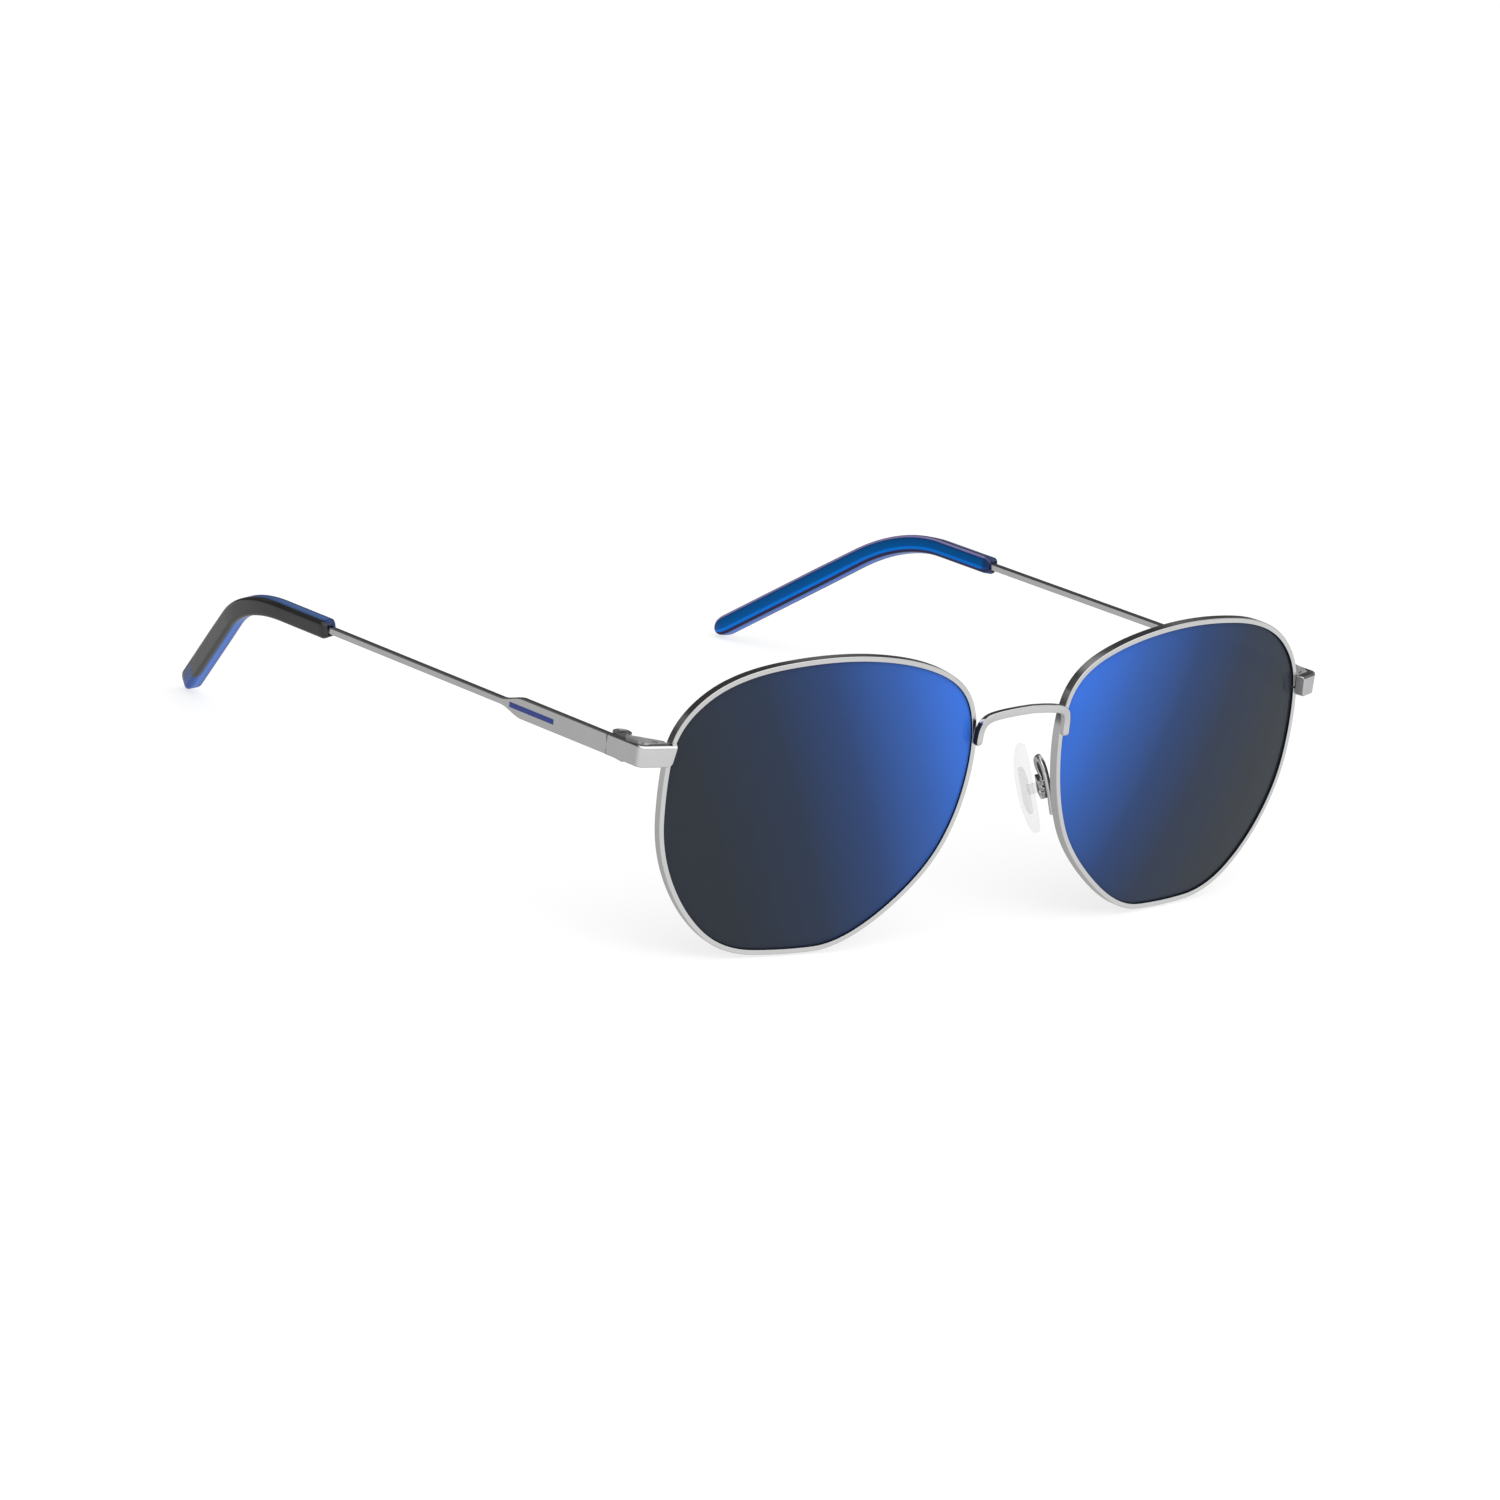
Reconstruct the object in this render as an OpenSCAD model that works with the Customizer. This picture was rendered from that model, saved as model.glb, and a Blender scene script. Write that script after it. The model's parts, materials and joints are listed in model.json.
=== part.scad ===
// Full-rim metal sunglasses with thin rims, a single bridge and bent two-colour tips.
// The design frame has its origin midway between the lens centres, on the plane that touches
// both lens fronts. +X is the wearer's left, +Y runs back to the ears, +Z is up. stand() then
// sets the glasses down, so that the rims and the tips rest on the plane Z = 0.
// Everything is drawn for the wearer's left and mirrored to the right. Millimetres.

/* [Lenses] */
// Distance between the two lens centres
lens_spacing = 75; // [74:0.5:76]
// Radius of the front surface of each lens
lens_radius = 132; // [125:1:140]
// Angle that each lens turns back towards its temple
lens_wrap = 7; // [6.5:0.1:7.5]
// Thickness of each lens
lens_t = 1.55; // [1.4:0.05:1.65]

/* [Rims] */
// Width of the rim, seen from the front
rim_w = 0.8; // [0.75:0.05:0.9]
// Depth of the rim, front to back
rim_depth = 1.55; // [1.5:0.05:1.7]
// Depth of the groove that holds the lens edge
groove_depth = 0.35; // [0.2:0.05:0.45]

/* [Bridge] */
// Height of the bridge wire
bridge_h = 1.3; // [1.2:0.05:1.4]
// Depth of the bridge wire, front to back
bridge_depth = 1.2; // [1.1:0.05:1.3]

/* [End pieces] */
// Height of the end piece
end_h = 3.4; // [3.2:0.1:3.5]
// Thickness of the end piece at the rim
end_t = 1.4; // [1.3:0.05:1.4]
// Distance from the centre plane to the outer faces
side_x = 69.2; // [69:0.1:69.4]

/* [Hinges] */
// Outer diameter of the hinge knuckles
knuckle_d = 3.0; // [2.8:0.05:3.0]
// Diameter of the hinge screw's shank
screw_d = 1.4; // [1.2:0.1:1.4]
// Radial running clearance round the hinge screw
screw_play = 0.03; // [0.02:0.01:0.05]

/* [Temples] */
// Downward slope of the temples behind the hinge
temple_slope = 5; // [4.8:0.1:5.2]
// Thickness of the temple, side to side
temple_t = 1.1; // [1:0.05:1.1]
// Height of the flat panel behind the hinge
panel_h = 3.3; // [3.2:0.1:3.5]
// Height of the temple wire behind the panel
wire_h = 1.1; // [1.05:0.05:1.3]

/* [Tips] */
// Height of the tip sleeve where the wire enters it
tip_h = 2.9; // [2.8:0.1:3]
// Height of the tip sleeve on its lower leg
tip_end_h = 3.3; // [3.2:0.1:3.6]
// Thickness of the tip sleeve, side to side
tip_t = 2.8; // [2.6:0.1:3]
// Centre-line radius of the bend over the ear
ear_bend_r = 28.5; // [27.5:0.5:30]

/* [Nose pads] */
// Length of each nose pad
pad_len = 16; // [15.4:0.1:16.2]
// Width of each nose pad
pad_w = 7.3; // [6.8:0.1:7.4]
// Angle that each pad leans in at the top
pad_lean = 22; // [20:1:24]
// Angle that each pad turns back to face the nose
pad_splay = 25; // [23:1:27]

/* [Hidden] */
$fn = 48;
gap = 0.04;                                  // between parts that slide on each other
seat = 0.02;                                 // between parts that are fixed together

// Guide corners of the left rim's opening, a soft hexagon, seen from the front: [towards the
// temple, up] from the lens centre. The opening touches each side of the guide at its middle.
lens_guide = [
    [27, 3.5], [26, 13], [17, 20.5], [0, 23], [-15, 21.5], [-25.5, 17], [-28.5, 9],
    [-27, -3.5], [-22, -13.5], [-9, -24], [1.5, -24.5], [12.5, -24], [20.5, -17.5], [26, -7.5]
];
outline_steps = 6;                           // points on the opening for each guide corner
rim_slit = 0.3;                              // cut in the rim between the two lock blocks
lens_inset = 0.25;                           // lens front behind the front of the rim

// Centre line of the bridge from its middle to the end of its left leg: [x, y, z]
bridge_line = [
    [0, -2.25, 13.25], [3, -2.1, 13.05], [5.8, -1.7, 12.6], [7.5, -1.28, 12],
    [8.4, -1.03, 11.1], [8.75, -0.9, 10], [8.84, -0.87, 8.7], [8.88, -0.92, 7.5]
];

// End piece: front face from its nasal end to the bend, then straight back to the hinge
end_start = [64.2, 4.67];                    // nasal end of the front face: [x, y]
end_angle = 28;                              // angle of the front face, seen from above
end_bend_r = 1.5;                            // radius of the outer bend
end_z = [8.73, 8.25, 7.62];                  // height of the centre line: nasal end, bend, back
end_back_t = 1.1;                            // thickness beside the hinge
end_slant = 0.16;                            // slant of the nasal end, as a share of its height

// Hinge
hinge_y = 15;                                // hinge axis behind the lens fronts
hinge_x = side_x - temple_t - knuckle_d / 2;
seam_y = hinge_y + 0.25;                     // butt joint between the end piece and the temple
knuckle_z = [5.6, 6.75, 8.25, 9.4];          // ends of the lower and of the upper knuckle
hinge_head_d = 2.2;
hinge_head_h = 0.5;
slot_w = 0.35;                               // slot across every screw head

// Temple, as distances behind the hinge axis along the temple
temple_z = 7.65;                             // height of the temple's centre line at the hinge
panel_end = 21.8;                            // the panel begins to narrow here
wire_start = 27.4;                           // and has become the wire here
stripe_from = 13.6;
stripe_len = 11.3;
stripe_h = 0.85;
stripe_depth = 0.3;
tip_start = 73;                              // front end of the tip sleeve
tip_straight = 12.8;                         // straight part before the bend over the ear
tip_leg = 31.9;                              // straight part after the bend
tip_drop = 38.7;                             // slope of that leg below the horizontal
tip_yaw = 23.4;                              // and its angle in towards the head
core_short = 9;                              // the wire core stops this far before the tip's end
skin_short = 8.5;                            // the dark skin stops this far before it
skin_t = 0.8;                                // thickness of the dark skin
tip_tilt = 12;                               // the sleeve's top leans out by this angle

// Nose pads
pad_screw_at = [11.8, 5.5, -3.5];            // middle of the left pad screw
pad_t = 2.6;
pad_rise = 0.35;                             // pad's middle above the pad screw
pad_out = 2.55;                              // pad's middle plane from the pad screw
pad_box_len = 3.4;
pad_box_w = 2.4;
pad_box_wall = 0.45;
pad_screw_d = 0.8;
pad_tongue_t = pad_box_w - 2 * pad_box_wall - 2 * gap;
arm_d = 0.9;
// Centre line of the left pad arm, from the rim to its box: [x, y, z]
arm_line = [
    [11.4, 1.4, -6.6], [10.95, 1.5, -5.2], [10.35, 1.65, -3.2], [9.6, 1.85, -1.2],
    [9, 2.15, 0.5], [8.75, 3, 1.8], [8.9, 4.1, 2.2], [9.35, 4.9, 1.4], [10.2, 5.3, 0.1],
    [11.5, 5.45, -1.6]
];

silver = [0.78, 0.78, 0.77];
chrome = [0.86, 0.86, 0.87];
lens_blue = [0.16, 0.3, 0.62, 0.8];
stripe_blue = [0.1, 0.2, 0.58];
tip_blue = [0.05, 0.3, 0.75, 0.85];
skin_black = [0.15, 0.15, 0.16];
pad_clear = [0.93, 0.94, 0.95, 0.5];

// ---- vectors and curves -------------------------------------------------------------------
function unit(v) = v / norm(v);
function wrapped(i, n) = (i % n + n) % n;
// A smooth closed curve inside the polygon p, touching each of its sides at the middle
function guided_curve(p, steps) = [
    for (i = [0 : len(p) - 1], k = [0 : steps - 1])
        let (a = (p[wrapped(i - 1, len(p))] + p[i]) / 2, b = (p[i] + p[wrapped(i + 1, len(p))]) / 2,
            t = k / steps)
            a * pow(1 - t, 2) + 2 * p[i] * t * (1 - t) + b * t * t
];
function curve_at(a, b, c, d, t) =
    (2 * b + (c - a) * t + (2 * a - 5 * b + 4 * c - d) * t * t
        + (3 * b - a - 3 * c + d) * t * t * t) / 2;
// A smooth open curve through the points p
function open_curve(p, steps) = let (n = len(p) - 1) [
    for (i = [0 : n - 1], k = [0 : steps - (i == n - 1 ? 0 : 1)])
        curve_at(i > 0 ? p[i - 1] : 2 * p[0] - p[1], p[i], p[i + 1],
            i < n - 1 ? p[i + 2] : 2 * p[n] - p[n - 1], k / steps)
];
function tangent(p, i) = unit(p[min(i + 1, len(p) - 1)] - p[max(i - 1, 0)]);

// A rectangle w by h with rounded corners, as points anticlockwise round its centre
function round_rect(w, h, r, steps = 2) = [
    for (corner = [0 : 3], k = [0 : steps])
        let (a = 90 * corner + 90 * k / steps,
            sx = corner == 0 || corner == 3 ? 1 : -1,
            sy = corner < 2 ? 1 : -1)
            [sx * (w / 2 - r) + r * cos(a), sy * (h / 2 - r) + r * sin(a)]
];

// One ring of a swept bar: section points [sideways, up] round p, square to the direction t.
// slant pushes the top of the ring along t, and up_ref is any vector near "up".
function ring(p, t, section, up_ref = [0, 0, 1], slant = 0) =
    let (side = unit(cross(t, up_ref)), up = cross(side, t))
        [for (s = section) p + s[0] * side + s[1] * up + s[1] * slant * t];

// A closed bar through a list of rings that all have the same number of points
module bar(rings, loop = false) {
    n = len(rings[0]);
    m = len(rings);
    last = loop ? m - 1 : m - 2;
    sides = [
        for (i = [0 : last], k = [0 : n - 1])
            let (j = (i + 1) % m, l = (k + 1) % n) each [
                [i * n + k, i * n + l, j * n + l],
                [i * n + k, j * n + l, j * n + k]
            ]
    ];
    ends = loop ? [] : [[for (k = [n - 1 : -1 : 0]) k], [for (k = [0 : n - 1]) (m - 1) * n + k]];
    polyhedron(points = [for (r = rings) each r], faces = concat(sides, ends), convexity = 6);
}

// ---- the two lenses and their rims ----------------------------------------------------------
opening = guided_curve(lens_guide, outline_steps);
// Outward direction of the outline at point i
function outward(i) = let (n = len(opening),
    d = unit(opening[wrapped(i + 1, n)] - opening[wrapped(i - 1, n)])) [d[1], -d[0]];
// From lens coordinates [towards the temple, up, back from the lens front] to the design frame
function from_lens(u, v, back) =
    let (w = (u * u + v * v) / (2 * lens_radius) + back)
        [lens_spacing / 2 + u * cos(lens_wrap) - w * sin(lens_wrap),
            u * sin(lens_wrap) + w * cos(lens_wrap), v];
// The outline moved out by d, at depth back
function rim_point(i, d, back) = let (q = opening[i] + d * outward(i),
    lift = (q * q - opening[i] * opening[i]) / (2 * lens_radius))
        from_lens(q[0], q[1], back - lift);

// Rim section: [outward, back], with the groove on its inner side
rim_edge = 0.18;                             // bevel on the outer corners of the rim
groove_half = 0.1;                           // half the width of the bottom of the groove
groove_from = rim_depth / 2 - groove_half - groove_depth * 1.15;
rim_section = [
    [0, 0], [0, groove_from], [groove_depth, rim_depth / 2 - groove_half],
    [groove_depth, rim_depth / 2 + groove_half], [0, rim_depth - groove_from],
    [0, rim_depth], [rim_w - rim_edge, rim_depth], [rim_w, rim_depth - rim_edge],
    [rim_w, rim_edge], [rim_w - rim_edge, 0]
];
slit_at = outline_steps;                     // the rim is cut between the first two guide corners
// Point i round the rim counted from the slit, which lies between its two ends
function slit_shift(i, s) = i == 0 ? [0, 0, rim_slit / 2]
    : i == len(opening) ? [0, 0, -rim_slit / 2] : [0, 0, 0];

module rim() {
    n = len(opening);
    color(silver)
        bar([
            for (i = [0 : n])
                [for (s = rim_section)
                    rim_point(wrapped(i + slit_at, n), s[0], s[1]) + slit_shift(i, s)]
        ]);
}

lens_rings = [0.25, 0.5, 0.75, 1];           // rings on each face, as shares of the outline
bevel_d = groove_depth - 0.05;               // how far the edge of the lens goes into the groove
bevel_half = 0.08;                           // half the width of the flat on that edge
module lens() {
    n = len(opening);
    function face_ring(k, back) = [
        for (i = [0 : n - 1])
            let (q = (opening[i] - gap * outward(i)) * k) from_lens(q[0], q[1], back)
    ];
    function edge_ring(d, back) = [for (i = [0 : n - 1]) rim_point(i, d, back)];
    front = lens_inset;
    back = lens_inset + lens_t;
    rings = concat(
        [for (k = lens_rings) face_ring(k, front)],
        [edge_ring(-gap, groove_from), edge_ring(bevel_d, rim_depth / 2 - bevel_half)],
        [edge_ring(bevel_d, rim_depth / 2 + bevel_half), edge_ring(-gap, rim_depth - groove_from)],
        [for (i = [len(lens_rings) - 1 : -1 : 0]) face_ring(lens_rings[i], back)]
    );
    color(lens_blue) bar(rings);
}

// ---- bridge ---------------------------------------------------------------------------------
// D-shaped wire, flat at the back: [front to back, up]
bridge_section = [
    for (a = [90 : -30 : -90])
        [bridge_depth / 2 - bridge_depth * pow(cos(a), 0.7), bridge_h / 2 * sin(a)]
];
bridge_half = open_curve(bridge_line, 5);
bridge_curve = concat(
    [for (i = [len(bridge_half) - 1 : -1 : 1])
        [-bridge_half[i][0], bridge_half[i][1], bridge_half[i][2]]],
    bridge_half
);
bridge_rings = [
    for (i = [0 : len(bridge_curve) - 1])
        let (t = tangent(bridge_curve, i), up = unit(cross([0, -1, 0], t)), away = cross(up, t))
            [for (s = bridge_section) bridge_curve[i] - s[0] * away + s[1] * up]
];
module bridge() { color(silver) bar(bridge_rings); }

// ---- end piece --------------------------------------------------------------------------------
end_dir = [cos(end_angle), sin(end_angle)];
end_corner_y = end_start[1] + (side_x - end_start[0]) * tan(end_angle);
bend_turn = 90 - end_angle;
bend_cut = end_bend_r * tan(bend_turn / 2);
bend_centre = [side_x - end_bend_r, end_corner_y + bend_cut];
front_run = (side_x - end_start[0]) / cos(end_angle) - bend_cut;
back_run = seam_y - gap / 2 - bend_centre[1];
bend_steps = 8;
// Outer face of the end piece, seen from above: [x, y, share of the way to the bend or past it]
end_path = concat(
    [for (k = [0 : 4]) concat(end_start + end_dir * front_run * k / 4, [k / 4])],
    [for (k = [1 : bend_steps])
        let (a = end_angle - 90 + bend_turn * k / bend_steps)
            [bend_centre[0] + end_bend_r * cos(a), bend_centre[1] + end_bend_r * sin(a), 1]],
    [for (k = [1 : 4]) [side_x, bend_centre[1] + back_run * k / 4, 1 + k / 4]]
);
module end_piece() {
    n = len(end_path);
    color(silver)
        bar([
            for (i = [0 : n - 1])
                let (
                    q = end_path[i],
                    share = q[2],
                    z = share <= 1 ? end_z[0] + (end_z[1] - end_z[0]) * share
                        : end_z[1] + (end_z[2] - end_z[1]) * (share - 1),
                    bent = max(0, min(1, (i - 4) / bend_steps)),
                    t = end_t + (end_back_t - end_t) * bent,
                    flat = [cos(end_angle + bend_turn * bent), sin(end_angle + bend_turn * bent), 0],
                    inward = [-flat[1], flat[0], 0],
                    slant = i == 0 ? -end_slant : 0,
                    section = round_rect(t, end_h, 0.25)
                )
                    [for (s = section)
                        [q[0], q[1], z] + inward * (t / 2 - s[0]) + [0, 0, s[1]] + flat * slant * s[1]]
        ]);
}
// Puts its children on the front face: x along it, y into it
module on_end_face() {
    translate([end_start[0], end_start[1], 0]) rotate([0, 0, end_angle]) children();
}

// ---- rim locks behind the end pieces --------------------------------------------------------
lock_back = 3.15;                            // back of the lock blocks behind the front face
lock_reach = 4.85;                           // beside the back leg they reach this far, to the hinge
lock_left = [0.98, 0.86];                    // ends of the lower and of the upper block at the rim
lock_split = opening[slit_at][1];
lock_z = [6.9, lock_split - 0.05, lock_split + 0.05, 10.1]; // lower block, then upper block
lock_screw_at = [3.1, 2.35];                 // along the face and behind it
// Distance along the front face at which the inner side of the back leg is met, at depth n
function leg_meets(n) = (side_x - end_back_t - seat - end_start[0] + n * sin(end_angle)) / cos(end_angle);
lock_screw_d = 0.9;
lock_head_d = 1.2;
lock_head_h = 0.35;
module lock_block(z0, z1, left, hole_d) {
    color(silver)
        on_end_face()
            difference() {
                translate([0, 0, z0])
                    linear_extrude(z1 - z0)
                        polygon([
                            [left, end_t + seat], [front_run - 0.1, end_t + seat],
                            [leg_meets(2.1), 2.1], [leg_meets(lock_reach), lock_reach],
                            [left + 0.6, lock_back]
                        ]);
                translate([lock_screw_at[0], lock_screw_at[1], z0 - 1])
                    cylinder(d = hole_d, h = z1 - z0 + 2);
                translate([lock_screw_at[0], lock_screw_at[1], lock_z[3] - lock_head_h])
                    cylinder(d = lock_head_d + 2 * seat, h = 1);
            }
}
module lower_lock() { lock_block(lock_z[0], lock_z[1], lock_left[0], lock_screw_d + 2 * seat); }
module upper_lock() { lock_block(lock_z[2], lock_z[3], lock_left[1], lock_screw_d + 2 * seat); }

// A screw whose axis is Z: the head's top is at z = 0, the shank goes down to -len
module screw(len, d, head_d, head_h) {
    difference() {
        union() {
            translate([0, 0, -len]) cylinder(d = d, h = len - head_h / 2);
            translate([0, 0, -head_h]) cylinder(d = head_d, h = head_h);
        }
        translate([-head_d, -slot_w / 2, -head_h * 0.6]) cube([2 * head_d, slot_w, head_h]);
    }
}
module lock_screw() {
    color(chrome)
        on_end_face()
            translate([lock_screw_at[0], lock_screw_at[1], lock_z[3] - 0.03])
                screw(lock_z[3] - lock_z[0] - 0.1, lock_screw_d, lock_head_d, lock_head_h - 0.05);
}

// ---- hinge ----------------------------------------------------------------------------------
knuckle_web = 1.1;                           // width of the webs that carry the knuckles
// One knuckle from z0 to z1 with a web to the side face, y0 to y1 from the axis
module knuckle(z0, z1, y0, y1) {
    translate([hinge_x, hinge_y, z0]) cylinder(d = knuckle_d, h = z1 - z0);
    translate([hinge_x, hinge_y + y0, z0]) cube([knuckle_d / 2, y1 - y0, z1 - z0]);
}
module hinge_bore(z0, z1, d) {
    translate([hinge_x, hinge_y, z0]) cylinder(d = d, h = z1 - z0);
}
module front_knuckles() {
    bore = screw_d + 2 * seat;
    color(silver)
        difference() {
            union() {
                knuckle(knuckle_z[0], knuckle_z[1], -knuckle_d / 2 - knuckle_web, 0.2);
                knuckle(knuckle_z[2], knuckle_z[3], -knuckle_d / 2 - knuckle_web, 0.2);
            }
            hinge_bore(knuckle_z[0] - 1, knuckle_z[3] + 1, bore);
            hinge_bore(knuckle_z[3] - hinge_head_h - 0.05, knuckle_z[3] + 1, hinge_head_d + 2 * seat);
        }
}
module temple_knuckle() {
    color(silver)
        difference() {
            knuckle(knuckle_z[1] + gap, knuckle_z[2] - gap, 0.3, knuckle_d / 2 + knuckle_web);
            hinge_bore(knuckle_z[0], knuckle_z[3], screw_d + 2 * screw_play);
        }
}
module hinge_screw() {
    color(chrome)
        translate([hinge_x, hinge_y, knuckle_z[3] - 0.05])
            screw(knuckle_z[3] - knuckle_z[0] - 0.1, screw_d, hinge_head_d, hinge_head_h);
}

// ---- temple and tip -------------------------------------------------------------------------
temple_dir = [0, cos(temple_slope), -sin(temple_slope)];
temple_x = side_x - temple_t / 2;
function on_temple(s) = [temple_x, hinge_y, temple_z] + s * temple_dir;
leg_dir = [-cos(tip_drop) * sin(tip_yaw), cos(tip_drop) * cos(tip_yaw), -sin(tip_drop)];
ear_turn = acos(temple_dir * leg_dir);
ear_side = unit(leg_dir - (leg_dir * temple_dir) * temple_dir);
ear_start = on_temple(tip_start + tip_straight);
function on_ear(a) = ear_start
    + ear_bend_r * (sin(a) * temple_dir + (1 - cos(a)) * ear_side);
function ear_dir(a) = cos(a) * temple_dir + sin(a) * ear_side;
ear_steps = 12;
// Points down the middle of the tip sleeve: [position, direction, distance from its front end]
ear_len = ear_bend_r * ear_turn * PI / 180;
tip_len = tip_straight + ear_len + tip_leg;
function tip_at(s) =
    s < tip_straight ? [on_temple(tip_start + s), temple_dir, s]
    : s < tip_straight + ear_len
        ? let (a = (s - tip_straight) / ear_bend_r * 180 / PI) [on_ear(a), ear_dir(a), s]
        : [on_ear(ear_turn) + (s - tip_straight - ear_len) * leg_dir, leg_dir, s];
function tip_stations(from, to, n) = [for (k = [0 : n]) tip_at(from + (to - from) * k / n)];
// Height of the sleeve, s from its front end
function sleeve_h(s) = tip_h + (tip_end_h - tip_h)
    * max(0, min(1, (s - tip_straight) / (ear_len + 8)));

taper_steps = 5;
panel_stations = concat(
    [gap / 2 + seam_y - hinge_y, 6],
    [for (k = [0 : taper_steps]) panel_end + (wire_start - panel_end) * k / taper_steps]
);
function temple_h(s) =
    s <= panel_end ? panel_h
    : s >= wire_start ? wire_h
        : let (k = (s - panel_end) / (wire_start - panel_end))
            panel_h + (wire_h - panel_h) * k * k * (3 - 2 * k);
core_h = 1;                                  // the wire inside the tip
core_t = 0.9;
module temple() {
    flat = [for (s = panel_stations)
        ring(on_temple(s), temple_dir, round_rect(temple_t, temple_h(s), 0.22), [0, 0, 1],
            s == panel_stations[0] ? -tan(temple_slope) : 0)];
    sleeve_mouth = ring(on_temple(tip_start - 0.4), temple_dir, round_rect(temple_t, wire_h, 0.22));
    core = [for (q = tip_stations(0.6, tip_len - core_short, 22))
        ring(q[0], q[1], round_rect(core_t, core_h, 0.22))];
    color(silver)
        difference() {
            bar(concat(flat, [sleeve_mouth], core));
            stripe_box(0);
        }
}
// The enamelled stripe on the outer face, shrunk on every side by s
module stripe_box(s) {
    translate([side_x - stripe_depth, hinge_y, temple_z])
        rotate([-temple_slope, 0, 0])
            translate([s, stripe_from + s, -stripe_h / 2 + s])
                cube([stripe_depth + (s > 0 ? -0.02 - s : 1), stripe_len - 2 * s, stripe_h - 2 * s]);
}
module stripe() { color(stripe_blue) stripe_box(0.01); }

// The whole sleeve: its mouth, its length and its rounded end, as rings
tip_nose = 2.8;                              // length of the rounded end
sleeve_up = [tan(tip_tilt), 0, 1];
skin_from = tip_t / 2 - skin_t;              // inner face of the skin, from the sleeve's middle
sleeve_rings = concat(
    [for (m = [[0, 0.66], [0.2, 0.84], [0.5, 0.95]])
        let (q = tip_at(m[0]))
            ring(q[0], q[1], round_rect(tip_t * m[1], tip_h * m[1], 0.6 * m[1], 3), sleeve_up)],
    [for (q = tip_stations(1, tip_len - tip_nose, 30))
        ring(q[0], q[1], round_rect(tip_t, sleeve_h(q[2]), 0.65, 3), sleeve_up)],
    [for (k = [1 : 5])
        let (a = 90 * k / 5.6, q = tip_at(tip_len - tip_nose * (1 - sin(a))),
            w = tip_t * (0.35 + 0.65 * cos(a)), h = tip_end_h * (0.12 + 0.88 * cos(a)))
            ring(q[0], q[1], round_rect(w, h, min(w, h, 1.3) / 2 - 0.02, 3), sleeve_up)]
);
module sleeve() { bar(sleeve_rings); }
// A strip along the outer side of the sleeve: from its middle plane outwards
module outer_strip(from_side, grow) {
    reach = tip_t;
    tail = tip_len - skin_short + grow;
    section = [for (y = [-3, 3]) each (y < 0 ? [[from_side, y], [reach, y]]
        : [[reach, y], [from_side, y]])];
    rings = [for (q = tip_stations(-0.5, tail, 30)) ring(q[0], q[1], section, sleeve_up)];
    end = tip_at(tail);
    bar(concat(rings, [ring(end[0] + 1.7 * end[1], end[1], section, sleeve_up, -0.55)]));
}
module core_hole() {
    bar([for (q = tip_stations(-0.5, tip_len - core_short + 0.3, 22))
        ring(q[0], q[1], round_rect(core_t + 0.1, core_h + 0.1, 0.25))]);
}
module tip() {
    color(tip_blue)
        difference() {
            sleeve();
            outer_strip(skin_from, 0);
            core_hole();
        }
}
module tip_skin() {
    color(skin_black)
        difference() {
            intersection() {
                sleeve();
                outer_strip(skin_from + seat, -seat);
            }
            core_hole();
        }
}

// ---- nose pads ------------------------------------------------------------------------------
// Puts its children at the pad screw: x away from the nose, y along the screw, z up the pad
module at_pad() {
    translate(pad_screw_at) rotate([0, -pad_lean, 0]) rotate([0, 0, -pad_splay]) children();
}
module pad_arm() {
    line = open_curve(arm_line, 4);
    section = round_rect(arm_d, arm_d * 0.85, 0.3, 1);
    color(chrome)
        bar([for (i = [0 : len(line) - 1]) ring(line[i], tangent(line, i), section, [0, 0.9, 0.1])]);
}
box_back = 0.95;                             // outer end of the pad box, from the screw
box_front = -0.55;
box_floor = 0.22;                            // thickness of the outer wall of the pad box
module pad_box() {
    color(chrome)
        at_pad()
            difference() {
                translate([box_front, -pad_box_w / 2, -pad_box_len / 2])
                    cube([box_back - box_front, pad_box_w, pad_box_len]);
                translate([box_front - 1, -pad_box_w / 2 + pad_box_wall,
                    -pad_box_len / 2 + pad_box_wall])
                    cube([box_back - box_front - box_floor + 1, pad_box_w - 2 * pad_box_wall,
                        pad_box_len - 2 * pad_box_wall]);
                rotate([90, 0, 0]) cylinder(d = pad_screw_d + 2 * seat, h = 2 * pad_box_w, center = true);
            }
}
module pad_screw() {
    color(chrome)
        at_pad()
            rotate([90, 0, 0])
                translate([0, 0, pad_box_w / 2 + 0.3])
                    screw(pad_box_w + 0.3, pad_screw_d, 1.3, 0.28);
}
core_plate = [0.7, 4.2, 7.4];                // plate inside the pad: thickness, width, length
module pad_core() {
    color(pad_clear)
        at_pad()
            difference() {
                union() {
                    rotate([90, 0, 0]) cylinder(r = 0.65, h = pad_tongue_t, center = true);
                    translate([-pad_out, -pad_tongue_t / 2, -0.65])
                        cube([pad_out, pad_tongue_t, 1.3]);
                    translate([-pad_out - core_plate[0] / 2, -core_plate[1] / 2, -core_plate[2] / 2])
                        cube(core_plate);
                }
                rotate([90, 0, 0])
                    cylinder(d = pad_screw_d + 2 * screw_play, h = 2 * pad_box_w, center = true);
            }
}
pad_rows = 12;
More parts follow.
